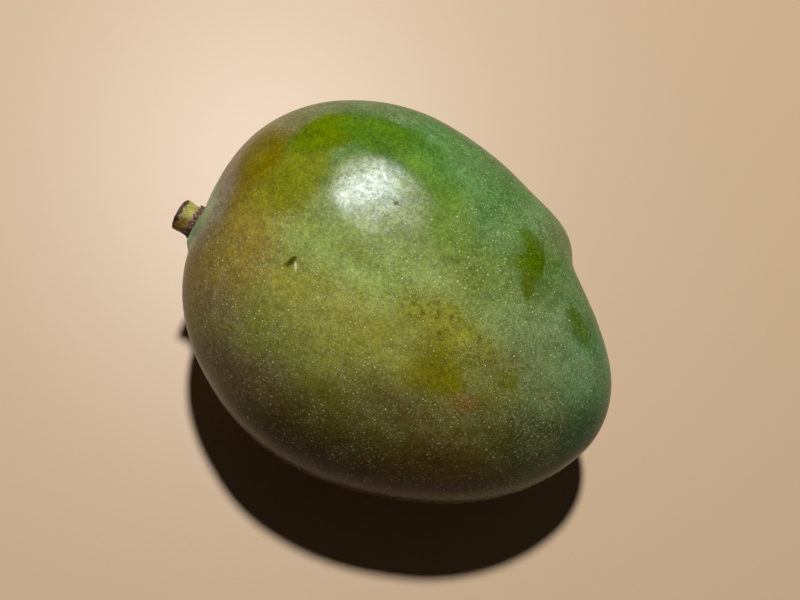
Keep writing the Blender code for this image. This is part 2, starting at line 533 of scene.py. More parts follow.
@dataclass
class FruitSkin:
    """The whole skin of the fruit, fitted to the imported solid, with its gentle unevenness."""

    form: FruitForm = field(default_factory=FruitForm)
    cells_per_edge: int = 127
    # The stalk's seat: a low cone with a flat top, as in the part's source.
    stalk_heading: float = 179.0
    stalk_climb: float = 8.0
    seat_gap: float = 0.3
    seat_radius: float = 4.9
    cone_radius: float = 8.5
    # Size and depth of the three kinds of unevenness.
    swells: tuple[float, float] = (21.0, 0.34)
    ripples: tuple[float, float] = (5.5, 0.05)
    peel: tuple[float, float] = (2.1, 0.026)
    foot_clearance: float = 3.0
    dents: tuple[Dent, ...] = (
        Dent(-28.8, -11.2, (2.2, 1.3), 0.24, turn=75.0),
        Dent(-27.0, -11.8, (1.9, 0.8), -0.16, turn=-60.0),
        Dent(-12.6, 13.8, (1.0, 0.8), 0.04, turn=30.0),
        Dent(-34.0, 33.0, (9.0, 6.0), -0.12),
        Dent(24.0, 20.0, (5.0, 11.0), 0.10),
        Dent(14.0, -14.0, (16.0, 12.0), 0.10),
        Dent(-20.0, 36.0, (36.0, 34.0), -0.60),
        Dent(-39.0, -2.0, (34.0, 34.0), -0.75),
    )
    piece: bpy.types.Object | None = None

    def build(self) -> bpy.types.Object:
        """Makes the skin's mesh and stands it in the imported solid's place."""
        base = new_object("skin_base", bpy.data.meshes.new("skin_base"))
        mesh = run_tree(base, self.form.graph(), {"Cells per edge": self.cells_per_edge, **self.form.sizes()})
        points = self._stand(points_of(mesh))
        put_points(mesh, self._raise_seat(points))
        base.data = mesh
        mesh = run_tree(base, self._relief(base), {})
        base.data = mesh
        points = points_of(mesh)
        points[:, 2] = np.maximum(points[:, 2], 0.0)
        put_points(mesh, points)
        bpy.data.objects.remove(base)
        self.piece = add_piece("fruit_skin", mesh)
        return self.piece

    def _stand(self, points: np.ndarray) -> np.ndarray:
        """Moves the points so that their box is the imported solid's, and cuts the foot flat."""
        low, high = (np.array(corner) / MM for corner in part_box("fruit"))
        middle = (low + high) / 2.0 - (points.min(axis=0) + points.max(axis=0)) / 2.0
        points = points + np.array([middle[0], middle[1], high[2] - points[:, 2].max()])
        points[:, 2] = np.maximum(points[:, 2], 0.0)
        return points

    def seat(self) -> np.ndarray:
        """The middle of the seat's flat top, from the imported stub's foot."""
        axis = self.stalk_axis()
        stub = np.array([vertex.co for vertex in bpy.data.objects["stem_stub"].data.vertices]) / MM
        along = stub @ axis
        foot = stub[along < along.min() + 0.05].mean(axis=0)
        return foot - self.seat_gap * axis

    def stalk_axis(self) -> np.ndarray:
        """The direction in which the stalk grows."""
        return direction(self.stalk_heading, self.stalk_climb)

    def _raise_seat(self, points: np.ndarray) -> np.ndarray:
        """Draws the skin round the stalk up into its cone."""
        axis = self.stalk_axis()
        offset = points - self.seat()
        along = offset @ axis
        aside = np.linalg.norm(offset - along[:, None] * axis, axis=1)
        share = smooth_step((self.cone_radius - aside) / (self.cone_radius - self.seat_radius))
        share = np.where(along > -self.cone_radius, share, 0.0)
        return points - (share * along)[:, None] * axis

    def _relief(self, base: bpy.types.Object) -> Graph:
        """The tree that moves the skin in and out a little."""
        graph = new_geometry_graph("Skin relief")
        skin = graph.entry("Mesh", "geometry")
        place = graph.out("GeometryNodeInputPosition")
        height: Wire = graph.math("ADD", 0.0, 0.0)
        for size, depth in (self.swells, self.ripples, self.peel):
            height = height + (graph.noise(place, size, 1.0) - 0.5) * (2.0 * depth)
        for dent in self.dents:
            centre = skin_point(base, dent.x, dent.y)
            offset = graph.drift(place, 1.6, 0.35) - tuple(centre)
            turned = {"Vector": offset, "Angle": -math.radians(dent.turn)}
            offset = graph.out("ShaderNodeVectorRotate", turned, rotation_type="Z_AXIS")
            long, wide = dent.reach
            reach = metres((long, wide, max(dent.reach) * 2.0))
            aside = graph.length(graph.vector("DIVIDE", offset, reach))
            height = height - graph.ramp(aside, 1.0, 0.0, 0.0, dent.depth)
        low = place.parts()[2]
        height = height * graph.ramp(low, 0.2 * MM, self.foot_clearance * MM)
        seat = graph.length(place - tuple(self.seat() * MM))
        height = height * graph.ramp(seat, self.seat_radius * MM, self.cone_radius * MM)
        offset = graph.out("GeometryNodeInputNormal") * (height * MM)
        moved = graph.out("GeometryNodeSetPosition", {"Geometry": skin, "Offset": offset})
        graph.leave(Mesh=moved)
        return graph

    def dress(self, material: bpy.types.Material) -> bpy.types.Object:
        """Gives the skin its material and puts it in the frame."""
        self.piece.data.materials.clear()
        self.piece.data.materials.append(material)
        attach(self.piece, "root")
        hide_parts("fruit")
        return self.piece


def skin_point(
    skin: bpy.types.Object, x: float, y: float, face: Face | None = None, z: float = 0.0
) -> Vector:
    """A point of the skin, in metres.

    Args:
        skin: the object that holds the skin.
        x, y: the place in millimetres, or the heading on a flank.
        face: the side from which the place is looked for, or None for the upper cheek.
        z: the height on a flank, in millimetres.

    Returns:
        The point where the line of sight meets the skin, or for a place beside the fruit one at
        its widest level.
    """
    start, sight = Vector((x * MM, y * MM, 1.0)), Vector((0.0, 0.0, -1.0))
    if face is Face.LOWER:
        start, sight = Vector((x * MM, y * MM, -1.0)), Vector((0.0, 0.0, 1.0))
    elif face is Face.FLANK:
        sight = -Vector((x, y, 0.0)).normalized()
        start = Vector((0.0, 0.0, z * MM)) - sight
    found, point, _, _ = skin.ray_cast(start, sight)
    return point if found else Vector((x, y, WIDEST_LEVEL)) * MM


class Face(Enum):
    """The side of the fruit on which a patch lies."""

    UPPER = "upper"
    LOWER = "lower"
    FLANK = "flank"


# Shader groups that several finishes use


def soft_patch() -> bpy.types.NodeTree:
    """The group that masks a soft oval patch round a centre."""
    found = bpy.data.node_groups.get("Soft patch")
    if found:
        return found
    graph = new_shader_group("Soft patch")
    place = graph.entry("Position", tuple)
    centre = graph.entry("Centre", tuple)
    turn = graph.entry("Turn", float, 0.0)
    reach = graph.entry("Reach", tuple, (0.01, 0.01, 0.01))
    edge = graph.entry("Edge", float, 0.6)
    turned = {"Vector": place - centre, "Angle": turn}
    offset = graph.out("ShaderNodeVectorRotate", turned, rotation_type="Z_AXIS")
    aside = graph.length(graph.vector("DIVIDE", offset, reach))
    graph.leave(Mask=graph.ramp(aside, 1.0 + edge, 1.0 - edge))
    return graph.tree


def mottle() -> bpy.types.NodeTree:
    """The group that lightens and darkens a colour in small soft blots."""
    found = bpy.data.node_groups.get("Mottle")
    if found:
        return found
    graph = new_shader_group("Mottle")
    place = graph.entry("Position", tuple)
    colour = graph.entry("Colour", "colour", (0.5, 0.5, 0.5))
    scale = graph.entry("Scale", float, 500.0)
    amount = graph.entry("Amount", float, 0.1)
    detail = graph.entry("Detail", float, 2.0)
    terms = {"Vector": place, "Scale": scale, "Detail": detail}
    blots = graph.out("ShaderNodeTexNoise", terms)
    stretched = graph.ramp(blots, 0.3, 0.7)
    factor = (stretched - 0.5) * 2.0 * amount + 1.0
    shade = graph.out("ShaderNodeCombineColor", {0: factor, 1: factor, 2: factor})
    graph.leave(Colour=graph.tint(colour, shade, 1.0, "MULTIPLY"), Blots=stretched)
    return graph.tree


# Finishes


@dataclass(frozen=True)
class Patch:
    """A soft-edged patch of colour on the skin, at its real place and size.

    The reach is along and across the turn. Film is how much wax bloom the patch adds, or with a
    minus sign how much is rubbed off it. Gloss is how much of the wax is whole enough to shine, or
    with a minus sign how much of the shine is lost. Stain browns the rings round the pores and sets
    freckles.
    """

    name: str
    x: float
    y: float
    reach: tuple[float, float]
    colour: Colour
    strength: float = 1.0
    turn: float = 0.0
    edge: float = 0.6
    film: float = 0.0
    gloss: float = 0.0
    stain: float = 0.0
    face: Face = Face.UPPER
    height: float = 40.0
    depth: float = 0.0


PATCHES = (
    # Broad colours, from the sinus side round to the back.
    Patch("green of the sinus side", 0, 50, (88, 43), (0.058, 0.148, 0.028), edge=0.35, depth=75),
    Patch("blue-green of the tip", 62, 6, (25, 27), (0.07, 0.178, 0.06), 0.95, edge=0.5, film=0.15, depth=75),
    # Dark brown of the back: partly real blush, partly painted shade on the side turned from the lamp.
    Patch("brown and painted shade of the back", 8, -56, (82, 22), (0.056, 0.034, 0.005), edge=0.55, film=-0.4, depth=80),
    Patch("brown lower flank", -33, -38, (16, 6), (0.116, 0.076, 0.036), 0.75, edge=0.65, depth=40),
    Patch("brown below the belly", 15, -30, (17, 7), (0.112, 0.088, 0.018), 0.9, turn=4, depth=40),
    Patch("brown right of the belly", 25, -23, (12, 6.5), (0.135, 0.102, 0.015), 0.8,
          turn=15, edge=0.65, depth=30),
    # Painted shade: the lower tip and the tip's edge, which face away from the lamp, are darkened in their
    # colour.
    Patch("painted shade of the lower tip", 51, -21, (18, 14), (0.058, 0.062, 0.012), 0.95,
          turn=20, edge=0.65, depth=60),
    Patch("painted shade on the tip's edge", 65, -9, (9, 12), (0.018, 0.085, 0.026), 0.95, film=-0.3, depth=50),
    Patch("frost on the tip", 50, 2, (6.5, 6), (0.13, 0.22, 0.075), 0.85, film=0.4),
    Patch("purple near the tip", 30, -37, (19, 8), (0.078, 0.042, 0.006), 0.9, turn=24, film=-0.4, depth=40),
    Patch("pale belly", -7, -4, (32, 10), (0.232, 0.3, 0.066), 0.95, turn=-3, film=0.15),
    Patch("yellow strip", -15, -17, (24, 7), (0.262, 0.26, 0.04), 0.9, edge=0.65, film=-0.15),
    Patch("dull skin under the crown", -21, -0.5, (16, 3.6), (0.172, 0.205, 0.026), 0.75, turn=-4, film=-0.1),
    # The shoulder by the stalk.
    Patch("orange shoulder", -58, -3, (16, 34), (0.162, 0.108, 0.014), 0.95, edge=0.4, film=-0.2),
    # Mauve along the left and upper outline: partly real mauve, partly painted sheen and reflection at the
    # grazing rim.
    Patch("mauve edge with painted rim sheen", -65, 0, (9.6, 31), (0.138, 0.088, 0.072), 0.95, edge=0.5, film=0.3, depth=60),
    Patch("mauve upper edge with painted rim sheen", -51, 22, (15, 6.2), (0.188, 0.158, 0.056), 0.95,
          turn=62, edge=0.5, film=0.2, depth=30),
    Patch("olive-orange shoulder", -41, 1, (7, 9), (0.184, 0.172, 0.01), 0.9, edge=0.65, film=-0.4),
    Patch("mauve by the seat", -57, -2, (5.5, 15), (0.188, 0.13, 0.09), 0.9, edge=0.5, film=0.2, depth=14),
    Patch("orange by the scar", -41, -14, (9, 9), (0.255, 0.184, 0.03), 0.9, edge=0.7),
    Patch("pale lower shoulder", -43, -27, (10, 6), (0.19, 0.128, 0.044), 0.85, edge=0.7, film=0.1),
    Patch("pale upper shoulder", -44.5, 32.5, (9, 7), (0.11, 0.114, 0.034), 0.85, film=0.2),
    Patch("olive shoulder", -50, 12, (6.5, 10), (0.134, 0.106, 0.0), 0.95, edge=0.4, film=-0.8),
    # The spots of the belly.
    Patch("yellow-olive belly", 8, -10.5, (10, 6.5), (0.228, 0.216, 0.028), 0.7, turn=10, film=-0.2),
    Patch("freckled belly", 14, -6.6, (15, 4.8), (0.236, 0.24, 0.024), 0.8, edge=0.5, film=-0.2, stain=1.0),
    Patch("olive belly", 16.8, -16.6, (7.4, 6.6), (0.15, 0.138, 0.003), 0.9,
          turn=25, edge=0.65, film=-0.5, stain=0.5),
    Patch("green-yellow spot", 20.6, -18.4, (3.2, 2.7), (0.15, 0.146, 0.0), 0.7, edge=0.7, film=-0.5),
    Patch("dull belly", 28.5, -10.8, (7, 5), (0.128, 0.122, 0.016), 0.7,
          turn=-20, edge=0.7, film=-0.1, stain=0.5),
    Patch("olive edge of the belly", 20, 9, (7, 10), (0.126, 0.188, 0.026), 0.7, edge=0.65),
    Patch("grey belly", 34, 2, (11, 9), (0.142, 0.196, 0.06), 0.85, turn=-10, edge=0.7, film=0.4),
    Patch("frost below the rub", 38, 10, (5, 4), (0.135, 0.205, 0.072), 0.8, turn=-10, edge=0.7, film=0.5),
    Patch("grey tip", 42, -7, (8, 4), (0.128, 0.152, 0.04), 0.85, turn=-25, edge=0.7, film=0.5),
    Patch("brown beside the belly", 32.5, -5.5, (3.6, 1.8), (0.128, 0.122, 0.026), 0.6, stain=0.9),
    Patch("brown-olive rub", 33.6, -9.8, (3.0, 2.4), (0.116, 0.132, 0.004), 0.75, film=-0.5, stain=0.4),
    Patch("reddish spot", 26, -20.5, (3.5, 1.9), (0.2, 0.1, 0.01), 0.75, turn=25, edge=0.7, stain=0.5),
    # The crown, where the wax is whole in places and rubbed away in others.
    Patch("whole wax of the crown", -16.8, 14.1, (13.3, 9.8), (0.175, 0.205, 0.03), 0.6,
          edge=0.18, film=0.3, gloss=1.0),
    Patch("whole wax below the crown", -10, 3.6, (7, 3), (0.19, 0.225, 0.045), 0.5,
          turn=-10, edge=0.5, film=0.3, gloss=0.2),
    Patch("rubbed olive by the crown", -38, 10, (6.5, 10), (0.146, 0.162, 0.004), 0.85, edge=0.4, film=-1.0),
    Patch("rubbed yellow-green", -37, 24.5, (11, 6), (0.09, 0.132, 0.0), turn=50, edge=0.3, film=-1.0),
    Patch("rubbed green", -21, 29, (14.5, 7), (0.064, 0.14, 0.004), 0.95, edge=0.24, film=-1.0),
    Patch("clear green by the crown", 1, 17, (6, 9), (0.132, 0.206, 0.028), 0.8, turn=20, film=-0.4),
    Patch("light green over the crown", -8, 25.5, (9, 4.4), (0.116, 0.216, 0.022), 0.85,
          turn=-18, edge=0.5, film=-0.6),
    Patch("bloom of the upper shoulder", -33, 39, (14, 5.5), (0.094, 0.128, 0.042), 0.85, turn=8, film=0.25),
    Patch("bloom of the top", -3, 34, (12, 8), (0.078, 0.18, 0.032), 0.85, film=0.25),
    # The rubs of the sinus side.
    Patch("shade round the rub", 27.5, 21.5, (7.5, 10), (0.08, 0.142, 0.026), 0.8,
          turn=-10, edge=0.55, film=-0.1),
    Patch("bloom before the rub", 16, 24, (4.0, 8), (0.104, 0.186, 0.046), 0.8, turn=-10, film=0.3),
    Patch("bloom above the rub", 21, 31.5, (5.5, 3), (0.1, 0.185, 0.054), 0.65, turn=-10, edge=0.5, film=0.4),
    Patch("fringe of the rub", 22.2, 25.6, (3.4, 2.4), (0.07, 0.126, 0.006), 0.8,
          turn=-10, edge=0.5, film=-0.6),
    Patch("left lobe of the rub", 23.2, 18.0, (2.6, 2.5), (0.08, 0.125, 0.004), 0.9,
          turn=20, edge=0.3, film=-0.8),
    Patch("dark green rub", 25.7, 20.9, (2.8, 5.7), (0.06, 0.106, 0.0), turn=20, edge=0.17, film=-1.2),
    Patch("tail of the rub", 27.0, 14.0, (3.8, 2.1), (0.078, 0.112, 0.003), 0.9,
          turn=-61, edge=0.3, film=-1.0),
    Patch("green by the tip", 42, 19, (8, 6), (0.08, 0.144, 0.032), 0.85, turn=-40),
    Patch("small dark green rub", 45, 13.5, (5.6, 2.0), (0.074, 0.135, 0.012), 0.9, turn=-29, film=-0.8),
    Patch("brown smear", 28, 34, (4.5, 8), (0.115, 0.164, 0.046), 0.8, turn=-20, edge=0.7),
    # Small marks.
    Patch("scar", -28.8, -11.0, (1.5, 0.75), (0.075, 0.06, 0.002), 0.95, turn=75, edge=0.35, film=-1.0),
    Patch("foot of the scar", -29.4, -12.4, (0.8, 0.6), (0.11, 0.08, 0.004), 0.8, edge=0.5, film=-1.0),
    # Pale loose skin by the scar: partly a real flake, partly a painted glint on its lifted edge.
    Patch("loose skin with painted glint by the scar", -27.2, -11.9, (1.4, 0.26), (0.56, 0.54, 0.27), 0.9, turn=-60, edge=0.3),
    Patch("nick", -12.6, 13.8, (0.62, 0.42), (0.08, 0.082, 0.006), turn=30, edge=0.45, film=-1.5, gloss=-1.0),
    Patch("tail of the nick", -11.5, 13.8, (0.95, 0.16), (0.08, 0.085, 0.01), 0.8,
          turn=8, edge=0.5, film=-1.0),
    # Sides that only other views show.
    Patch("pale of the seat", -60, -4, (12.3, 11.6), (0.265, 0.35, 0.17), 0.9,
          edge=0.34, face=Face.FLANK, height=46),
    Patch("green of the far cheek", 10, 10, (60, 40), (0.13, 0.18, 0.03), 0.8, face=Face.LOWER, depth=26),
    Patch("blush of the far cheek", -20, -25, (40, 22), (0.2, 0.08, 0.025), 0.6, face=Face.LOWER, depth=26),
)
# Patches no longer than this keep their outline. Those with a harder edge than the other are
# only frayed, and the rest are drawn ragged.
SMALL_MARK = 3.0
HARD_EDGE = 0.2


@dataclass(frozen=True)
class Spots:
    """Small soft spots of one colour, scattered at random over parts of the skin."""

    colour: Colour
    share: float
    # Cells to a metre, and how far from a cell's middle its spot ends and is full.
    crowding: float
    edge: tuple[float, float]
    # Size and roughness of the noise that chooses among them, and where it begins and is full.
    choice: tuple[float, float, float, float]
    # Size and reach of the noise that makes their outlines uneven.
    drift: tuple[float, float] = (0.0, 0.0)

    def mask(self, graph: Graph, place: Wire) -> Wire:
        """How strong the spots are at each place."""
        bent = graph.drift(place, *self.drift) if self.drift[1] else place
        size, rough, start, end = self.choice
        chosen = graph.ramp(graph.noise(place, size, 2.0, rough), start, end)
        return graph.ramp(graph.cells(bent, self.crowding), *self.edge) * chosen * self.share


@dataclass(frozen=True)
class SkinFinish:
    """The fruit's skin: regional pigment under a patchy film of wax bloom, with a satin shine."""

    base: Colour = (0.190, 0.198, 0.026)
    bloom: Colour = (0.300, 0.380, 0.230)
    freckles: Spots = Spots(
        (0.12, 0.085, 0.003), 0.62, 500.0, (0.52, 0.16), (3.2, 0.5, 0.30, 0.44), (1.1, 0.35)
    )
    flecks: Spots = Spots((0.52, 0.56, 0.30), 0.30, 760.0, (0.30, 0.08), (1.7, 0.6, 0.42, 0.62), (0.8, 0.3))
    specks: Spots = Spots((0.03, 0.034, 0.005), 0.8, 240.0, (0.085, 0.045), (3.0, 0.5, 0.52, 0.60))
    # The waxy crown, where flecks are rare: its middle, and how far from it they begin and are all there.
    crown: Place = (-38.0, 26.0, 75.0)
    crown_reach: tuple[float, float] = (20.0, 44.0)
    # What moves the outlines of the three kinds of patch: size, reach and detail of each noise.
    ragged: tuple[Place, ...] = ((13.0, 3.2, 3.0), (2.4, 1.0, 4.0))
    frayed: tuple[Place, ...] = ((6.0, 1.0, 2.0), (1.6, 0.8, 4.0))
    torn: tuple[Place, ...] = ((0.9, 0.25, 3.0),)
    film_share: float = 0.18
    rubbed_roughness: float = 0.26
    film_roughness: float = 0.35
    shine: Colour = (0.48, 0.78, 1.0)
    # The whole wax of the crown shines as a coat, broken by pits and fine cracks.
    wax_gloss: float = 0.72
    wax_roughness: float = 0.36
    # Blots that lighten and darken the colour: how many to a metre, how much, and their detail.
    mottles: tuple[tuple[float, float, float], ...] = (
        (120.0, 0.10, 3.0),
        (330.0, 0.10, 3.0),
        (800.0, 0.14, 3.0),
        (1900.0, 0.20, 2.0),
    )
    wave_height: float = 0.016
    wrinkle_height: float = 0.007
    grain_height: float = 0.014
    pit_depth: float = 0.006
    crackle_depth: float = 0.006
    pits_per_metre: float = 1050.0
    cracks_per_metre: float = 1100.0
    patches: tuple[Patch, ...] = PATCHES

    def pigment(self, skin: bpy.types.Object) -> bpy.types.NodeTree:
        """The group that gives the skin's colour, film and stain at a place.

        Args:
            skin: the object on which the patches' centres are found.

        Returns:
            A shader group with the input Position and the outputs Colour, Film, Gloss and Stain.
        """
        graph = new_shader_group("Mango pigment")
        place = graph.entry("Position", tuple)
        film_share = graph.entry("Film share", float, self.film_share)
        ragged = self._moved(graph, place, self.ragged)
        frayed = self._moved(graph, place, self.frayed)
        torn = self._moved(graph, place, self.torn)
        colour: object = self.base
        film: Wire = graph.ramp(graph.noise(place, 9.0, 3.0, 0.6), 0.36, 0.64, 0.12, 0.70)
        gloss: Wire = graph.math("ADD", 0.0, 0.0)
        stain: Wire = graph.math("ADD", 0.0, 0.0)
        for patch in self.patches:
            drawn = frayed if patch.edge < HARD_EDGE else ragged
            if max(patch.reach) <= SMALL_MARK:
                drawn = torn
            mask = self._mask(graph, drawn, patch, skin)
            colour = graph.tint(colour, patch.colour, mask * patch.strength)
            if patch.film:
                film = film + mask * patch.film
            if patch.gloss > 0.0:
                gloss = graph.math("MAXIMUM", gloss, mask * patch.gloss)
            elif patch.gloss < 0.0:
                gloss = gloss * (mask * patch.gloss + 1.0)
            if patch.stain:
                stain = stain + mask * patch.stain
        film = graph.math("MULTIPLY", film, 1.0, clamp=True)
        breaks = graph.ramp(graph.noise(place, 2.6, 5.0, 0.7), 0.32, 0.60, 0.45, 1.0)
        film = film * breaks * graph.ramp(graph.noise(place, 0.8, 3.0, 0.6), 0.34, 0.66, 0.35, 1.7)
        stain = graph.math("MULTIPLY", stain, 1.0, clamp=True)
        colour = graph.tint(colour, self.freckles.colour, self.freckles.mask(graph, place) * stain)
        crown = graph.length((place - metres(self.crown)) * FRUIT_STRETCH)
        off_crown = graph.ramp(crown, *metres(self.crown_reach), 0.1, 1.0)
        waxed = graph.ramp(film, 0.0, 0.25)
        colour = graph.tint(colour, self.flecks.colour, self.flecks.mask(graph, place) * off_crown * waxed)
        colour = graph.tint(colour, self.specks.colour, self.specks.mask(graph, place))
        colour = graph.tint(colour, self.bloom, film * film_share)
        graph.leave(Colour=colour, Film=film, Gloss=gloss, Stain=stain)
        return graph.tree

    def _moved(self, graph: Graph, place: Wire, layers: tuple[Place, ...]) -> Wire:
        """The place moved aside by each layer of noise in turn."""
        for size, reach, detail in layers:
            place = graph.drift(place, size, reach, detail)
        return place

    def _mask(self, graph: Graph, place: Wire, patch: Patch, skin: bpy.types.Object) -> Wire:
        """How strongly a patch covers each place."""
        centre = skin_point(skin, patch.x, patch.y, patch.face, patch.height)
        long, wide = patch.reach
        deep = patch.depth or 1.6 * max(long, wide)
        inputs = {
            "Position": place,
            "Centre": tuple(centre),
            "Turn": -math.radians(patch.turn),
            "Reach": metres((long, wide, deep)),
            "Edge": patch.edge,
        }
        return graph.use(soft_patch(), inputs)["Mask"]

    def material(self, pigment: bpy.types.NodeTree) -> bpy.types.Material:
        """The skin's own material."""
        shade = Shade("mango_skin")
        found = shade.use(pigment, {"Position": shade.place})
        colour = found["Colour"]
        for scale, amount, detail in self.mottles:
            inputs = {"Scale": scale, "Amount": amount, "Detail": detail}
            mottled = shade.use(mottle(), {"Position": shade.place, "Colour": colour, **inputs})
            colour = mottled["Colour"]
        roughness = shade.ramp(found["Film"], 0.0, 1.0, self.rubbed_roughness, self.film_roughness)
        roughness = roughness + (mottled["Blots"] - 0.5) * 0.06
        return shade.finish(
            height=self._relief(shade),
            Base_Color=colour,
            Roughness=roughness,
            Specular_IOR_Level=0.10,
            Specular_Tint=self.shine,
            Coat_Weight=found["Gloss"] * self._whole_wax(shade) * self.wax_gloss,
            Coat_Roughness=self.wax_roughness,
        )

    def _whole_wax(self, shade: Shade) -> Wire:
        """How whole the coat of wax is: broken by pits, by a fine grain and by blurred streaks."""
        pits = shade.cells(shade.drift(shade.place, 1.5, 0.4), self.pits_per_metre)
        grain = shade.noise(shade.place, 0.8, 4.0, 0.7)
        streaks = shade.noise(shade.place, 4.0, 3.0, 0.6, 1.2)
        whole = shade.ramp(pits, 0.10, 0.36, 0.35, 1.0) * shade.ramp(grain, 0.36, 0.62, 0.45, 1.25)
        return whole * shade.ramp(streaks, 0.38, 0.62, 0.55, 1.2)

    def _relief(self, shade: Shade) -> Wire:
        """The skin's fine relief in millimetres: wrinkles, grain, pits and crackle."""
        bent = shade.drift(shade.place, 4.0, 1.2)
        wrinkles = shade.noise(bent, 2.3, 1.0, 0.5, 1.2)
        wrinkles = 1.0 - shade.math("ABSOLUTE", wrinkles * 2.0 - 1.0) * 3.0
        wrinkles = shade.math("MAXIMUM", wrinkles, 0.0) ** 1.5
        waves = shade.noise(bent, 2.6, 1.0)
        patchy = shade.ramp(shade.noise(shade.place, 7.0), 0.42, 0.60, 0.15, 1.0)
        grain = shade.noise(shade.place, 0.75, 4.0, 0.65)
        pits = shade.cells(bent, self.pits_per_metre)
        uneven = shade.drift(shade.place, 1.2, 0.3)
        crackle = shade.cells(uneven, self.cracks_per_metre, feature="DISTANCE_TO_EDGE")
        height = wrinkles * patchy * self.wrinkle_height + waves * self.wave_height
        height = height + grain * self.grain_height + shade.ramp(pits, 0.10, 0.30) * self.pit_depth
        return height + shade.ramp(crackle, 0.0, 0.14) * self.crackle_depth


@dataclass(frozen=True)
class PoreFinish:
    """The raised cork of a pore, or the sunken ring round it, tinted by the skin's own colour."""

    name: str
    colour: Colour
    share: float
    # The weakest pore's share of the full tint.
    least: float = 0.25
    stain_colour: Colour = (0.10, 0.065, 0.01)
    stain_share: float = 0.0
    roughness: float = 0.55

    def material(self, pigment: bpy.types.NodeTree) -> bpy.types.Material:
        """The material, with the skin's regional colour showing through."""
        shade = Shade(self.name)
        found = shade.use(pigment, {"Position": shade.place})
        uneven = shade.ramp(shade.noise(shade.place, 1.3), 0.36, 0.62, self.least, 1.0)
        waxed = shade.ramp(found["Film"], 0.0, 0.15, 0.45, 1.0)
        colour = shade.tint(found["Colour"], self.colour, uneven * waxed * self.share)
        if self.stain_share:
            colour = shade.tint(colour, self.stain_colour, found["Stain"] * self.stain_share)
        inputs = {"Position": shade.place, "Colour": colour, "Scale": 900.0, "Amount": 0.15}
        spotted = shade.use(mottle(), inputs)
        return shade.finish(Base_Color=spotted["Colour"], Roughness=self.roughness, Specular_IOR_Level=0.3)


@dataclass(frozen=True)
class PoreKind:
    """One population of pores: how far apart, how large and where."""

    name: str
    spacing: float
    # How many to a square millimetre before any are dropped.
    crowding: float
    radius: tuple[float, float]
    ring: float
    seed: int
    # The share of pores kept on the belly, on the waxy crown and elsewhere.
    on_belly: float = 1.0
    on_crown: float = 0.1
    elsewhere: float = 1.0
    rise: float = 0.17
    sides: int = 7


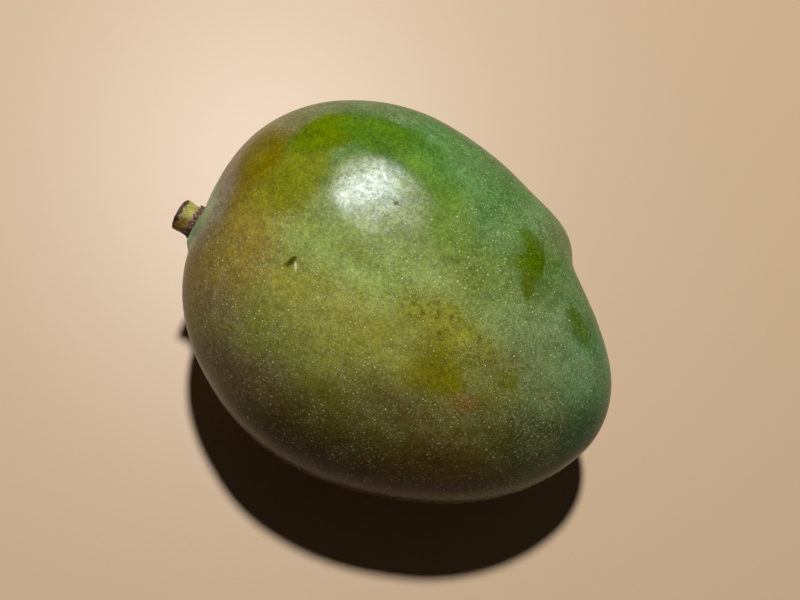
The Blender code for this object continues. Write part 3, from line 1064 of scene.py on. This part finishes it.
@dataclass
class Pores:
    """The pores of the skin, set at random but nowhere closer than their spacing."""

    kinds: tuple[PoreKind, ...] = (
        PoreKind(
            "fruit_pores", 1.1, 0.32, (0.16, 0.38), 1.6, seed=4, on_crown=0.03, elsewhere=0.75
        ),
        PoreKind(
            "fruit_fine_pores", 0.65, 0.95, (0.10, 0.19), 0.0, seed=9, on_belly=0.75, on_crown=0.1, sides=5
        ),
    )
    cork: PoreFinish = PoreFinish("pore_cork", (0.64, 0.74, 0.36), 0.60)
    ring: PoreFinish = PoreFinish("pore_ring", (0.05, 0.055, 0.010), 0.22, stain_share=0.5, roughness=0.36)
    # The middle and the reach of two regions, and the shares of the reach between which each fades.
    belly: tuple[Place, float, float, float] = ((-2.0, -10.0, 75.0), 36.0, 0.6, 1.3)
    crown: tuple[Place, float, float, float] = ((-38.0, 26.0, 78.0), 41.0, 0.5, 1.1)
    # The heights between which the pores begin above the foot.
    foot: tuple[float, float] = (0.3, 1.5)
    ring_rise: float = 0.07
    # How much of its own rise each cone is sunk into the skin.
    sunk_share: float = 0.12

    def build(self, skin: FruitSkin, pigment: bpy.types.NodeTree) -> list[bpy.types.Object]:
        """Makes one piece for each kind of pore.

        Args:
            skin: the finished skin.
            pigment: the group that gives the skin's colour at a place.

        Returns:
            The pieces.
        """
        finishes = {"Cork": self.cork.material(pigment), "Ring finish": self.ring.material(pigment)}
        pieces = []
        for kind in self.kinds:
            base = new_object("pore_base", skin.piece.data.copy())
            mesh = run_tree(base, self._graph(kind), {**self._sizes(kind), **finishes})
            bpy.data.objects.remove(base)
            piece = add_piece(kind.name, mesh)
            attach(piece, "root")
            pieces.append(piece)
        return pieces

    def _sizes(self, kind: PoreKind) -> dict[str, float]:
        """The tree's inputs for one kind of pore, but for its finishes."""
        return {
            "Spacing": kind.spacing * MM,
            "Crowding": kind.crowding / MM**2,
            "Least radius": kind.radius[0] * MM,
            "Most radius": kind.radius[1] * MM,
            "Ring": max(kind.ring, 0.01),
            "Rise": kind.rise,
            "On belly": kind.on_belly,
            "On crown": kind.on_crown,
            "Elsewhere": kind.elsewhere,
            "Seed": kind.seed,
        }

    def _graph(self, kind: PoreKind) -> Graph:
        """The tree that sets the pores on the skin."""
        graph = new_geometry_graph("Pores " + kind.name)
        skin = graph.entry("Mesh", "geometry")
        size = {name: graph.entry(name, type(value)) for name, value in self._sizes(kind).items()}
        cork = graph.entry("Cork", "material")
        ring_finish = graph.entry("Ring finish", "material")
        place = graph.out("GeometryNodeInputPosition")
        wanted = self._fade(graph, place, self.belly, size["On belly"], size["Elsewhere"])
        wanted = wanted * self._fade(graph, place, self.crown, size["On crown"], 1.0)
        wanted = wanted * graph.ramp(place.parts()[2], *metres(self.foot))
        scatter = {"Mesh": skin, "Distance Min": size["Spacing"], "Density Max": size["Crowding"]}
        scatter.update({"Density Factor": wanted, "Seed": size["Seed"]})
        node = graph.node("GeometryNodeDistributePointsOnFaces", scatter, distribute_method="POISSON")
        points, rotation = Wire(graph, node.outputs["Points"]), Wire(graph, node.outputs["Rotation"])
        shapes = [self._cone(graph, kind.sides, 1.0, size["Rise"], False)]
        if kind.ring:
            shapes.append(self._cone(graph, kind.sides + 1, size["Ring"], self.ring_rise, True))
        joined = graph.node("GeometryNodeJoinGeometry")
        for shape in reversed(shapes):
            graph.tree.links.new(shape.socket, joined.inputs[0])
        spread = {"Min": size["Least radius"], "Max": size["Most radius"], "Seed": size["Seed"]}
        radius = self._enabled(graph, "FunctionNodeRandomValue", spread, data_type="FLOAT")
        placed = {"Points": points, "Instance": Wire(graph, joined.outputs[0]), "Rotation": rotation}
        copies = graph.out("GeometryNodeInstanceOnPoints", {**placed, "Scale": radius})
        real = graph.out("GeometryNodeRealizeInstances", {"Geometry": copies})
        finished = graph.out("GeometryNodeSetMaterial", {"Geometry": real, "Material": cork})
        mark = self._enabled(graph, "GeometryNodeInputNamedAttribute", {"Name": "ring"}, data_type="BOOLEAN")
        finish = {"Geometry": finished, "Selection": mark, "Material": ring_finish}
        graph.leave(Mesh=graph.out("GeometryNodeSetMaterial", finish))
        return graph

    def _fade(self, graph: Graph, place: Wire, region: tuple, inside: Number, outside: Number) -> Wire:
        """A share that goes from one value inside a region to another outside it."""
        middle, reach, start, end = region
        aside = graph.length((place - metres(middle)) * FRUIT_STRETCH)
        return graph.ramp(aside, reach * start * MM, reach * end * MM, inside, outside)

    def _enabled(self, graph: Graph, kind: str, inputs: dict, **settings: object) -> Wire:
        """Adds a node whose kind of data is set, and gives the output that has this kind."""
        node = graph.node(kind, inputs, **settings)
        return Wire(graph, next(socket for socket in node.outputs if socket.enabled))

    def _cone(self, graph: Graph, sides: int, radius: Number, rise: Number, is_ring: bool) -> Wire:
        """A low open cone, whose foot is sunk a little, marked as cork or as ring."""
        size = {"Vertices": sides, "Radius Top": 0.0, "Radius Bottom": radius, "Depth": rise}
        cone = graph.out("GeometryNodeMeshCone", size, "Mesh", fill_type="NONE")
        sunk = graph.combine(0.0, 0.0, rise * -self.sunk_share)
        cone = graph.out("GeometryNodeTransform", {"Geometry": cone, "Translation": sunk})
        mark = {"Geometry": cone, "Name": "ring", "Value": is_ring}
        return graph.out("GeometryNodeStoreNamedAttribute", mark, data_type="BOOLEAN", domain="FACE")


# The stub of the stalk


@dataclass(frozen=True)
class BarkFinish:
    """Olive bark with pale corky streaks along it, ragged at its ends, and brown on its lower side that is
    partly painted shade.
    """

    olive: Colour = (0.290, 0.262, 0.036)
    pale: Colour = (0.500, 0.470, 0.150)
    brown: Colour = (0.170, 0.095, 0.014)
    dark: Colour = (0.032, 0.015, 0.010)
    reddish: Colour = (0.095, 0.040, 0.024)
    # The heights between which the reddish foot fades out and the dark rim fades in.
    foot_fade: tuple[float, float] = (1.7, 0.9)
    rim_fade: tuple[float, float] = (4.1, 4.7)
    streak_height: float = 0.30
    grain_height: float = 0.08

    def material(self, foot: np.ndarray, axis: np.ndarray, side: np.ndarray) -> bpy.types.Material:
        """The bark's material.

        Args:
            foot: the foot of the stub, in millimetres.
            axis: the direction in which the stalk grows.
            side: the level direction in which its browner side faces, away from the lamp, where the brown is
                partly painted shade.

        Returns:
            The material.
        """
        shade = Shade("stub_bark")
        offset = shade.place - tuple(foot * MM)
        along = shade.dot(offset, tuple(axis)) / MM
        aside = shade.dot(offset, tuple(side)) / MM
        drop = offset.parts()[2] / MM * -1.0
        streaks = shade.noise(offset - shade.scale(tuple(axis), along * 0.7 * MM), 0.75, 4.0, 0.65, 0.6)
        blots = shade.noise(shade.place, 1.6, 4.0, 0.65)
        colour = shade.tint(self.brown, self.olive, shade.ramp(streaks, 0.30, 0.46))
        colour = shade.tint(colour, self.pale, shade.ramp(streaks, 0.50, 0.66, 0.0, 0.85))
        # Brown on the side away from the lamp and on the underside: partly real brown, partly painted shade.
        shaded = shade.ramp(aside + blots * 2.0, 0.2, 3.4)
        lower = shade.math("MAXIMUM", shaded, shade.ramp(drop + blots, 0.8, 3.8))
        colour = shade.tint(colour, self.brown, lower * 0.85)
        ragged = (blots - 0.5) * 3.0
        colour = shade.tint(colour, self.reddish, shade.ramp(along + ragged, *self.foot_fade, 0.0, 0.9))
        colour = shade.tint(colour, self.dark, shade.ramp(along + ragged, *self.rim_fade, 0.0, 0.95))
        grain = shade.noise(shade.place, 0.35, 2.0)
        height = streaks * self.streak_height + grain * self.grain_height
        roughness = shade.ramp(streaks, 0.3, 0.7, 0.6, 0.42)
        return shade.finish(height=height, Base_Color=colour, Roughness=roughness)


@dataclass(frozen=True)
class CrustFinish:
    """Dark dried crust, with a few pale cork flecks."""

    name: str
    dark: Colour = (0.030, 0.014, 0.010)
    brown: Colour = (0.095, 0.044, 0.022)
    fleck: Colour = (0.420, 0.300, 0.210)
    fleck_share: float = 0.35
    lump_height: float = 0.5
    grain_height: float = 0.12

    def material(self) -> bpy.types.Material:
        """The crust's material."""
        shade = Shade(self.name)
        lumps = shade.noise(shade.place, 0.9, 4.0, 0.7)
        colour = shade.tint(self.dark, self.brown, shade.ramp(lumps, 0.42, 0.66))
        flecks = shade.ramp(shade.noise(shade.place, 0.8, 2.0), 0.58, 0.68, 0.0, self.fleck_share)
        colour = shade.tint(colour, self.fleck, flecks)
        grain = shade.noise(shade.place, 0.3, 2.0)
        height = lumps * self.lump_height + grain * self.grain_height
        return shade.finish(height=height, Base_Color=colour, Roughness=shade.ramp(lumps, 0.3, 0.7, 0.7, 0.4))


@dataclass(frozen=True)
class CutFinish:
    """The dried cut: fibrous wood round a darker pith."""

    wood: Colour = (0.200, 0.120, 0.055)
    pith: Colour = (0.060, 0.030, 0.015)

    def material(self) -> bpy.types.Material:
        """The cut's material."""
        shade = Shade("stub_cut")
        colour = shade.tint(self.pith, self.wood, shade.ramp(shade.noise(shade.place, 0.8, 4.0), 0.35, 0.62))
        height = shade.noise(shade.place, 0.35, 3.0) * 0.25
        return shade.finish(height=height, Base_Color=colour, Roughness=0.8)


@dataclass(frozen=True)
class SapFinish:
    """A bead of dried amber sap."""

    amber: Colour = (0.560, 0.260, 0.050)
    brown: Colour = (0.300, 0.120, 0.020)

    def material(self) -> bpy.types.Material:
        """The sap's material."""
        shade = Shade("dried_sap")
        colour = shade.tint(self.amber, self.brown, shade.ramp(shade.noise(shade.place, 0.8), 0.4, 0.7))
        return shade.finish(Base_Color=colour, Roughness=0.15, Coat_Weight=0.6)


@dataclass(frozen=True)
class Turned:
    """A turned piece of the stub."""

    name: str
    rings: int
    # How far the surface moves in and out, and the size of its lumps.
    relief: tuple[float, float]
    # Height on the stalk's axis and radius, from the foot to the cut.
    profile: Profile
    # Torn scales that stand on it: turn, height, and reach along, round and out.
    scales: tuple[tuple[float, float, float, float, float], ...] = ()


@dataclass
class StalkStub:
    """The stub of the stalk on its seat: bark, collar, crust round the cut, cut face and sap."""

    bark: Turned = Turned(
        "stub_bark",
        64,
        (0.16, 1.5),
        (
            (-0.5, 4.1),
            (0.3, 4.4),
            (1.0, 4.38),
            (1.6, 4.32),
            (2.3, 4.35),
            (3.0, 4.42),
            (3.7, 4.5),
            (4.3, 4.5),
            (4.8, 4.25),
        ),
    )
    collar: Turned = Turned(
        "stub_collar",
        28,
        (0.42, 1.1),
        ((-0.6, 4.3), (-0.1, 4.62), (0.25, 4.7), (0.55, 4.6), (0.85, 4.42), (1.1, 4.2), (1.1, 3.8)),
        (
            (158.0, 0.55, 0.75, 0.6, 0.45),
            (171.0, 0.2, 0.5, 0.7, 0.5),
            (20.0, 0.9, 0.6, 0.8, 0.35),
            (48.0, 0.4, 0.7, 0.6, 0.35),
            (96.0, 0.7, 0.55, 0.9, 0.3),
            (250.0, 0.6, 0.6, 0.8, 0.35),
            (310.0, 0.5, 0.7, 0.7, 0.35),
        ),
    )
    crust: Turned = Turned(
        "stub_crust",
        36,
        (0.30, 1.0),
        (
            (4.2, 4.25),
            (4.35, 4.46),
            (4.6, 4.52),
            (4.9, 4.44),
            (5.12, 4.2),
            (5.22, 3.85),
            (5.12, 3.4),
            (4.9, 3.0),
            (4.6, 2.6),
            (4.4, 2.4),
        ),
    )
    cut: Turned = Turned(
        "stub_cut", 24, (0.15, 1.0), ((4.75, 3.1), (4.62, 2.3), (4.55, 1.5), (4.6, 0.8), (4.5, 0.0))
    )
    # The cut leans: how much higher it is on one side, as a share of its height.
    cut_slant: float = 0.12
    rim_radius: float = 4.5
    # The radius on which the lumps are laid out, and the one below which they fade.
    lump_radius: float = 4.4
    calm_radius: float = 1.5
    scale_radius: float = 4.75
    segments: int = 144
    bead_turn: float = 6.0
    bead_height: float = 4.55
    bead_radius: float = 4.3
    bead_reach: Place = (0.55, 0.6, 0.85)
    bead_sag: float = 0.2

    def build(self, skin: FruitSkin) -> list[bpy.types.Object]:
        """Makes the stub's pieces round the stalk's axis.

        Args:
            skin: the skin, whose seat carries the stub.

        Returns:
            The pieces, the bark first.
        """
        self.axis = skin.stalk_axis()
        self.foot = skin.seat() + skin.seat_gap * self.axis
        self.side = np.cross([0.0, 0.0, 1.0], self.axis)
        self.side /= np.linalg.norm(self.side)
        self.up = np.cross(self.axis, self.side)
        bark = BarkFinish().material(self.foot, self.axis, self.side)
        crust = CrustFinish("stub_crust").material()
        reddish = (0.060, 0.024, 0.017), (0.160, 0.072, 0.045)
        collar = CrustFinish("stub_collar", *reddish, fleck_share=0.7).material()
        pieces = [
            self._turned(self.bark, bark),
            self._turned(self.collar, collar),
            self._turned(self.crust, crust),
            self._turned(self.cut, CutFinish().material()),
            self._bead(),
        ]
        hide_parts("stem_stub")
        for piece in pieces:
            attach(piece, "root")
        return pieces

    def _turned(self, piece: Turned, material: bpy.types.Material) -> bpy.types.Object:
        """Makes a turned piece with its relief and its scales."""
        shape = bmesh.new()
        bmesh.ops.create_grid(shape, x_segments=self.segments, y_segments=piece.rings, size=0.5)
        heights, radii = np.array(piece.profile).T
        depth, size = piece.relief
        for vertex in shape.verts:
            share = vertex.co.y + 0.5
            turn = (vertex.co.x + 0.5) * 2.0 * math.pi
            step = share * (len(heights) - 1)
            height = float(np.interp(step, range(len(heights)), heights))
            radius = float(np.interp(step, range(len(radii)), radii))
            lumps = Vector((math.cos(turn), math.sin(turn), 0.0)) * self.lump_radius / size
            rough = noise.fractal(lumps + Vector((0.0, 0.0, height / size)), 0.9, 2.0, 3)
            radius += depth * rough * min(1.0, radius / self.calm_radius)
            if height > 0.0:
                height *= 1.0 + self.cut_slant * radius / self.rim_radius * math.sin(turn)
            vertex.co = Vector(self._point(height, radius, turn)) * MM
        bmesh.ops.remove_doubles(shape, verts=shape.verts, dist=0.002 * MM)
        bmesh.ops.recalc_face_normals(shape, faces=shape.faces)
        mesh = bpy.data.meshes.new(piece.name)
        shape.to_mesh(mesh)
        if not self._faces_outward(mesh):
            bmesh.ops.reverse_faces(shape, faces=shape.faces)
        for scale in piece.scales:
            self._add_scale(shape, *scale)
        shape.to_mesh(mesh)
        shape.free()
        mesh.materials.append(material)
        return add_piece(piece.name, mesh)

    def _add_scale(
        self, shape: bmesh.types.BMesh, turn: float, height: float, long: float, wide: float, out: float
    ) -> None:
        """Adds one torn scale: a small lump that leans out from the collar."""
        lump = bmesh.ops.create_icosphere(shape, subdivisions=3, radius=1.0)["verts"]
        turn = math.radians(turn)
        centre = self._point(height, self.scale_radius, turn)
        outward = math.cos(turn) * self.side + math.sin(turn) * self.up
        round_about = np.cross(self.axis, outward)
        for vertex in lump:
            x, y, z = vertex.co
            ragged = 1.0 + 0.35 * noise.noise(vertex.co * 1.7 + Vector((turn * 9.0, 0.0, 0.0)))
            lean = 0.5 * x * x if x > 0 else 0.0
            offset = long * x * self.axis + wide * y * round_about + out * (z + lean) * outward
            vertex.co = Vector(centre + ragged * offset) * MM

    def _point(self, height: float, radius: float, turn: float) -> np.ndarray:
        """A point from its height on the axis, its radius and its turn."""
        around = math.cos(turn) * self.side + math.sin(turn) * self.up
        return self.foot + height * self.axis + radius * around

    def _faces_outward(self, mesh: bpy.types.Mesh) -> bool:
        """True where most faces point away from the stalk's axis or along it."""
        total = 0.0
        for polygon in mesh.polygons:
            offset = np.array(polygon.center) / MM - self.foot
            aside = offset - (offset @ self.axis) * self.axis
            out = aside + 0.5 * self.axis * np.linalg.norm(aside)
            total += float(np.array(polygon.normal) @ out) * polygon.area
        return total > 0.0

    def _bead(self) -> bpy.types.Object:
        """The bead of sap on the edge of the cut."""
        shape = bmesh.new()
        bmesh.ops.create_icosphere(shape, subdivisions=4, radius=1.0)
        turn = math.radians(self.bead_turn)
        centre = self._point(self.bead_height, self.bead_radius, turn)
        long, wide, deep = self.bead_reach
        for vertex in shape.verts:
            x, y, z = vertex.co
            wave = 1.0 + 0.12 * math.sin(3 * x + 1) * math.cos(4 * y)
            offset = long * x * self.axis + wide * y * self.side
            offset = offset + (deep * z - self.bead_sag * z * z) * self.up
            vertex.co = Vector(centre + wave * offset) * MM
        mesh = bpy.data.meshes.new("stub_sap")
        shape.to_mesh(mesh)
        shape.free()
        mesh.materials.append(SapFinish().material())
        return add_piece("stub_sap", mesh)


# The studio


@dataclass
class Studio:
    """The plain floor, the lamp, the fill and the camera."""

    floor_colour: Colour = (0.510, 0.368, 0.236)
    floor_roughness: float = 0.42
    floor_shine: float = 0.35
    floor_size: float = 6.0
    lamp_place: Place = (-0.333, 0.554, 1.5)
    lamp_width: float = 0.11
    lamp_power: float = 31.0
    lamp_colour: Colour = (1.0, 0.985, 0.96)
    sky: Colour = (0.030, 0.024, 0.018)
    backdrop: Colour = (0.560, 0.430, 0.300)
    look_at: Place = (-0.0019, 0.0173, 0.0)
    eye_distance: float = 0.360
    azimuth: float = 3.56
    elevation: float = 72.85
    roll: float = 24.4
    lens: float = 50.0
    sensor_width: float = 36.0
    nearest_seen: float = 0.01

    def build(self) -> None:
        """Makes everything round the fruit."""
        self._floor()
        self._lamp()
        self._sky()
        self._camera()
        scene = bpy.context.scene
        scene.view_settings.view_transform = "Standard"
        scene.view_settings.look = "None"

    def _floor(self) -> None:
        """The plain pale floor."""
        half = self.floor_size / 2.0
        mesh = bpy.data.meshes.new("floor")
        corners = [(-half, -half, 0.0), (half, -half, 0.0), (half, half, 0.0), (-half, half, 0.0)]
        mesh.from_pydata(corners, [], [(0, 1, 2, 3)])
        shade = Shade("floor")
        finish = {"Roughness": self.floor_roughness, "Specular_IOR_Level": self.floor_shine}
        mesh.materials.append(shade.finish(Base_Color=self.floor_colour, **finish))
        floor = new_object("floor", mesh)

    def _lamp(self) -> None:
        """The one lamp, which faces the fruit."""
        lamp = bpy.data.lights.new("lamp", "AREA")
        lamp.shape = "DISK"
        lamp.size = self.lamp_width
        lamp.energy = self.lamp_power
        lamp.color = self.lamp_colour
        holder = new_object("lamp", lamp)
        holder.location = self.lamp_place
        holder.rotation_euler = Vector(self.lamp_place).to_track_quat("Z", "Y").to_euler()

    def _sky(self) -> None:
        """Weak light from all sides, in front of a pale backdrop."""
        world = bpy.data.worlds.new("sky")
        world.use_nodes = True
        graph = Graph(world.node_tree)
        light = graph.out("ShaderNodeBackground", {"Color": self.sky})
        pale = graph.out("ShaderNodeBackground", {"Color": self.backdrop})
        seen = graph.out("ShaderNodeLightPath", output="Is Camera Ray")
        mixed = graph.out("ShaderNodeMixShader", {0: seen, 1: light, 2: pale})
        graph.feed(world.node_tree.nodes["World Output"].inputs["Surface"], mixed)
        bpy.context.scene.world = world

    def _camera(self) -> None:
        """The camera, above the fruit and turned about its own axis."""
        back = Vector(direction(self.azimuth - 90.0, self.elevation))
        up = (Vector((0.0, 0.0, 1.0)) - back.z * back).normalized()
        right = up.cross(back)
        roll = math.radians(self.roll)
        turned_up = up * math.cos(roll) - right * math.sin(roll)
        turned_right = right * math.cos(roll) + up * math.sin(roll)
        camera = bpy.data.cameras.new("camera")
        camera.lens = self.lens
        camera.sensor_width = self.sensor_width
        camera.clip_start = self.nearest_seen
        holder = new_object("camera", camera)
        eye = Vector(self.look_at) + self.eye_distance * back
        columns = (turned_right, turned_up, back)
        turn = Matrix([[column[i] for column in columns] for i in range(3)])
        holder.matrix_world = Matrix.Translation(eye) @ turn.to_4x4()
        bpy.context.scene.camera = holder


def report(pieces: list[bpy.types.Object]) -> None:
    """Logs each piece with its triangles and its size."""
    for piece in pieces:
        corners = points_of(piece.data)
        size = corners.max(axis=0) - corners.min(axis=0)
        triangles = sum(len(polygon.vertices) - 2 for polygon in piece.data.polygons)
        LOG.info("%s: %d triangles, %.1f x %.1f x %.1f mm", piece.name, triangles, *size)


def main() -> None:
    """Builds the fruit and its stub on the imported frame, and the studio round them."""
    logging.basicConfig(level=logging.INFO, format="%(message)s")
    for thing in list(bpy.data.objects):
        bpy.data.objects.remove(thing)
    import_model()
    Studio().build()
    skin = FruitSkin()
    skin.build()
    finish = SkinFinish()
    pigment = finish.pigment(skin.piece)
    skin.dress(finish.material(pigment))
    pores = Pores().build(skin, pigment)
    stub = StalkStub().build(skin)
    report([skin.piece, *pores, *stub])


if __name__ == "__main__":
    main()
